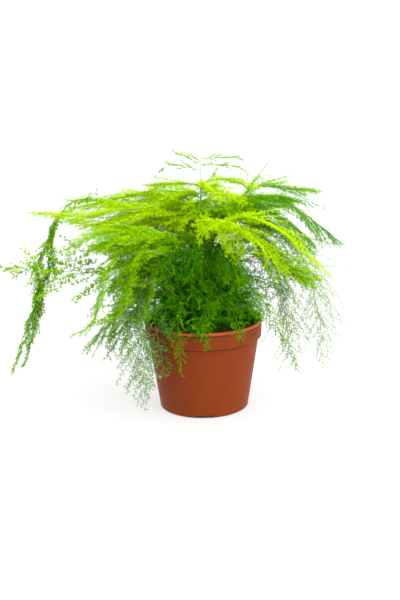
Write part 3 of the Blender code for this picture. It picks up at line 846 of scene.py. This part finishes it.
# The pot in millimetres. Radii are outer radii, and heights are from the resting surface.
BASE_RADIUS = 46
WALL = 1.2
BAND_STEP = 2.6  # how far the band stands out from the wall
BAND_DRAFT = 0.6  # how much the band narrows downwards
LIP_STEP = 0.6  # how far the lip stands out from the band
LIP_RADIUS = 1.5
FLOOR_LIFT = 2.6  # the space under the floor, inside the foot ring
FOOT_INSIDE = 42.6
FOOT_ROUND = 1.4
PAD_RADIUS = 9
NOTCHES = 4
NOTCH_LOW, NOTCH_HIGH, NOTCH_TOP = 10.9, 8.2, 2.5  # half widths at its foot and top, and height
DRAINS = 8
DRAIN_CIRCLE, DRAIN_RADIUS, DRAIN_SIDES = 29, 4, 20

def turned(name, profile, segments):
    """Turns (radius, height) points in millimetres round +Z; both ends lie on the axis."""
    verts, faces = [], []
    for radius, height in profile[1:-1]:
        for i in range(segments):
            angle = math.tau * i / segments
            verts.append((radius * MM * math.cos(angle), radius * MM * math.sin(angle), height * MM))
    for k in range(len(profile) - 3):
        for i in range(segments):
            j = (i + 1) % segments
            a, b = k * segments, (k + 1) * segments
            faces.append((a + i, a + j, b + j, b + i))
    faces.append(tuple(range(segments))[::-1])
    last = (len(profile) - 3) * segments
    faces.append(tuple(last + i for i in range(segments)))
    mesh = bpy.data.meshes.new(name)
    mesh.from_pydata(verts, [], faces)
    return mesh


def rounded(centre, radius, start, end, steps):
    """Points of an arc of a profile, from one angle in degrees to another."""
    made = []
    for i in range(steps + 1):
        angle = math.radians(start + (end - start) * i / steps)
        made.append((centre[0] + radius * math.cos(angle), centre[1] + radius * math.sin(angle)))
    return made


def prism(name, corners):
    """A closed block from two matching rings of corners."""
    n = len(corners) // 2
    faces = [tuple(range(n))[::-1], tuple(range(n, 2 * n))]
    faces += [(i, (i + 1) % n, n + (i + 1) % n, n + i) for i in range(n)]
    mesh = bpy.data.meshes.new(name)
    mesh.from_pydata(corners, [], faces)
    return new_object(name, mesh)


def build_pot():
    top = POT_HEIGHT / MM
    rim = RIM_RADIUS / MM
    band_low = top - BAND
    wall_top = rim - LIP_STEP - BAND_DRAFT - BAND_STEP
    lip = (rim - LIP_RADIUS, top - LIP_RADIUS)
    # Underneath, from the pad in the middle to the foot ring.
    profile = [(0, 0), (PAD_RADIUS, 0), (PAD_RADIUS, FLOOR_LIFT), (FOOT_INSIDE, FLOOR_LIFT),
               (FOOT_INSIDE, 0)]
    profile += rounded((BASE_RADIUS - FOOT_ROUND, FOOT_ROUND), FOOT_ROUND, -90, -8, 5)
    # Up the wall, over the band and its groove, and round the lip.
    profile += [(BASE_RADIUS + (wall_top - BASE_RADIUS) * 0.96, band_low * 0.96),
                (wall_top - 0.12, band_low - 0.5), (wall_top + 0.15, band_low),
                (rim - 1.5, band_low)]
    profile += rounded((rim - 1.5, band_low + 0.3), 0.3, -80, 0, 3)
    profile += [(rim - 0.8, top - 4.2), (rim - 1.0, top - 3.5), (rim - 0.6, top - 3.0)]
    profile += rounded(lip, LIP_RADIUS, -60, 180, 12)
    # Down the inside, over the step behind the band, to the floor.
    profile += [(rim - 2.4, 76), (rim - 4.9, 75.7), (BASE_RADIUS + 0.7 - WALL, 3.9), (0, 3.8)]
    pot = new_object("pot_shell", turned("pot_shell", profile, 192))
    cutters = []
    for i in range(NOTCHES):
        angle = -math.pi / 2 + math.tau * i / NOTCHES
        out = Vector((math.cos(angle), math.sin(angle), 0))
        across = Vector((-out.y, out.x, 0))
        corners = []
        for distance in (39, 50):
            for x, z in ((-NOTCH_LOW, -0.3), (NOTCH_LOW, -0.3), (NOTCH_HIGH, NOTCH_TOP),
                         (-NOTCH_HIGH, NOTCH_TOP)):
                corners.append((out * distance + across * x + Vector((0, 0, z))) * MM)
        cutters.append(prism(f"notch_{i}", [tuple(c) for c in corners]))
    for i in range(DRAINS):
        angle = math.tau * (i + 0.5) / DRAINS
        corners = []
        for z in (1.0, 6.0):
            for k in range(DRAIN_SIDES):
                turn = math.tau * k / DRAIN_SIDES
                x = DRAIN_CIRCLE * math.cos(angle) + DRAIN_RADIUS * math.cos(turn)
                y = DRAIN_CIRCLE * math.sin(angle) + DRAIN_RADIUS * math.sin(turn)
                corners.append((x * MM, y * MM, z * MM))
        cutters.append(prism(f"drain_{i}", corners))
    for cutter in cutters:
        boolean = pot.modifiers.new(cutter.name, "BOOLEAN")
        boolean.operation, boolean.solver, boolean.object = "DIFFERENCE", "EXACT", cutter
    graph = bpy.context.evaluated_depsgraph_get()
    mesh = bpy.data.meshes.new_from_object(pot.evaluated_get(graph))
    pot.modifiers.clear()
    pot.data = mesh
    for cutter in cutters:
        bpy.data.objects.remove(cutter)
    mesh.shade_smooth()
    mesh.set_sharp_from_angle(angle=math.radians(32))
    mesh.materials.clear()
    mesh.materials.append(pot_material())
    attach(pot, "root")
    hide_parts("pot")
    totals["pot_shell"] = sum(len(p.vertices) - 2 for p in mesh.polygons)


def crumb_tree():
    """Scatters small crumbs over the top of the compost."""
    tree, given = new_tree("compost_crumbs", (
        ("Crumbs per Square Metre", "Float"), ("Crumb Radius", "Float"), ("Seed", "Int"),
        ("Material", "Material")))
    facing = add(tree, "GeometryNodeInputNormal")
    up = add(tree, "ShaderNodeSeparateXYZ", {0: facing}).outputs[2]
    top = add(tree, "ShaderNodeMath", {0: up, 1: 0.7}, operation="GREATER_THAN")
    spots = add(tree, "GeometryNodeDistributePointsOnFaces", {
        "Mesh": given["Geometry"], "Selection": top,
        "Density": given["Crumbs per Square Metre"], "Seed": given["Seed"]})
    crumb = add(tree, "GeometryNodeMeshIcoSphere", {
        "Radius": given["Crumb Radius"], "Subdivisions": 1})
    # Crumbs are squashed and turned, no two alike.
    sizes = add(tree, "FunctionNodeRandomValue", {
        0: (0.4, 0.3, 0.25), 1: (1.4, 0.9, 0.7), "Seed": given["Seed"]}, data_type="FLOAT_VECTOR")
    turns = add(tree, "FunctionNodeRandomValue", {
        1: (6.28, 6.28, 6.28), "Seed": given["Seed"]}, data_type="FLOAT_VECTOR")
    crumbs = add(tree, "GeometryNodeInstanceOnPoints", {
        "Points": spots, "Instance": crumb, "Rotation": turns, "Scale": sizes})
    joined = add(tree, "GeometryNodeJoinGeometry", {0: [crumbs, given["Geometry"]]})
    whole = add(tree, "GeometryNodeRealizeInstances", {"Geometry": joined})
    whole = add(tree, "GeometryNodeSetMaterial", {
        "Geometry": whole, "Material": given["Material"]})
    add(tree, "NodeGroupOutput", {0: whole})
    return tree


DOME = 2.5  # millimetres that the compost rises towards its middle


def build_compost():
    low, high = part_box("compost")
    edge, bottom, top = high.x / MM, low.z / MM, high.z / MM
    rng = np.random.default_rng(7)
    profile = [(0, bottom), (edge * 0.78, bottom)]
    profile += [(edge * s, top - DOME * s * s) for s in np.linspace(1, 0.05, 24)]
    profile += [(0, top)]
    mesh = turned("compost_heap", profile, 96)
    # The top is uneven, except where it meets the pot.
    for vertex in mesh.vertices:
        if vertex.co.z > (top - 3) * MM and vertex.co.xy.length < edge * 0.97 * MM:
            vertex.co.z += rng.uniform(-0.5, 0.3) * MM
    mesh.shade_smooth()
    heap = new_object("compost_heap", mesh)
    run_tree(heap, crumb_tree(), {"Crumbs per Square Metre": 130000.0, "Crumb Radius": 1.1 * MM,
                                  "Seed": 3, "Material": compost_material()})
    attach(heap, "root")
    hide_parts("compost")
    totals["compost_heap"] = sum(len(p.vertices) - 2 for p in heap.data.polygons)


build_pot()
build_compost()
for number, shoot in enumerate(SHOOTS):
    grow_shoot(number, shoot)
print("triangles", sum(totals.values()), "most", max(totals, key=totals.get))


# ---- the studio ----


ROOM_LIGHT = 2.5
FLOOR_LIGHT = 0.58
KEY_WAY = Vector((-0.75, 0.5, -0.75))


def studio():
    scene = bpy.context.scene
    mesh = bpy.data.meshes.new("studio_floor")
    mesh.from_pydata([(-6, -6, 0), (6, -6, 0), (6, 6, 0), (-6, 6, 0)], [], [(0, 1, 2, 3)])
    # Matt white paper that glows evenly, except for a painted shadow where the pot stands on it:
    # there the glow stops.
    paper, tree = new_material("white_studio_paper")
    place = add(tree, "ShaderNodeTexCoord").outputs["Object"]
    out = add(tree, "ShaderNodeVectorMath", {0: place}, operation="LENGTH").outputs["Value"]
    glow_with_painted_shadow = add(tree, "ShaderNodeMapRange", {
        "Value": out, "From Min": 44.5 * MM, "From Max": 47 * MM, "To Max": FLOOR_LIGHT})
    skin = add(tree, "ShaderNodeBsdfPrincipled", {
        "Base Color": linear("#7c7c7c"), "Roughness": 0.9, "Specular IOR Level": 0.1,
        "Emission Color": linear("#ffffff"), "Emission Strength": glow_with_painted_shadow})
    add(tree, "ShaderNodeOutputMaterial", {0: skin})
    mesh.materials.append(paper)
    new_object("studio_floor", mesh)
    world = bpy.data.worlds.new("soft_white_room")
    world.use_nodes = True
    room = world.node_tree.nodes["Background"].inputs
    room["Color"].default_value = linear("#ffffff")
    room["Strength"].default_value = ROOM_LIGHT
    scene.world = world
    key = bpy.data.lights.new("key", "SUN")
    key.energy, key.angle = 2.2, math.radians(40)
    key_lamp = new_object("key", key)
    key_lamp.rotation_mode = "QUATERNION"
    key_lamp.rotation_quaternion = KEY_WAY.to_track_quat("-Z", "Y")
    # A small disc low at the front right gives the pot its sheen.
    sheen = bpy.data.lights.new("sheen", "AREA")
    sheen.shape, sheen.size, sheen.energy = "DISK", 0.35, 2.5
    sheen_lamp = new_object("sheen", sheen)
    sheen_lamp.location = (0.55, -0.75, 0.35)
    sheen_lamp.rotation_mode = "QUATERNION"
    aim = Vector((0, 0, 0.06)) - sheen_lamp.location
    sheen_lamp.rotation_quaternion = aim.to_track_quat("-Z", "Y")
    scene.view_settings.view_transform = "Standard"
    lens = bpy.data.cameras.new("camera")
    lens.sensor_width = 36
    lens.lens = 48.27
    lens.shift_x = -2.73 / 600
    camera = new_object("camera", lens)
    camera.location = (0, -0.800, 0.3039)
    camera.rotation_mode = "QUATERNION"
    # It looks down a little and is rolled by a degree about its own axis.
    camera.rotation_quaternion = (Quaternion((1, 0, 0), math.pi / 2 - 0.237)
                                  @ Quaternion((0, 0, 1), -0.017))
    scene.camera = camera


studio()
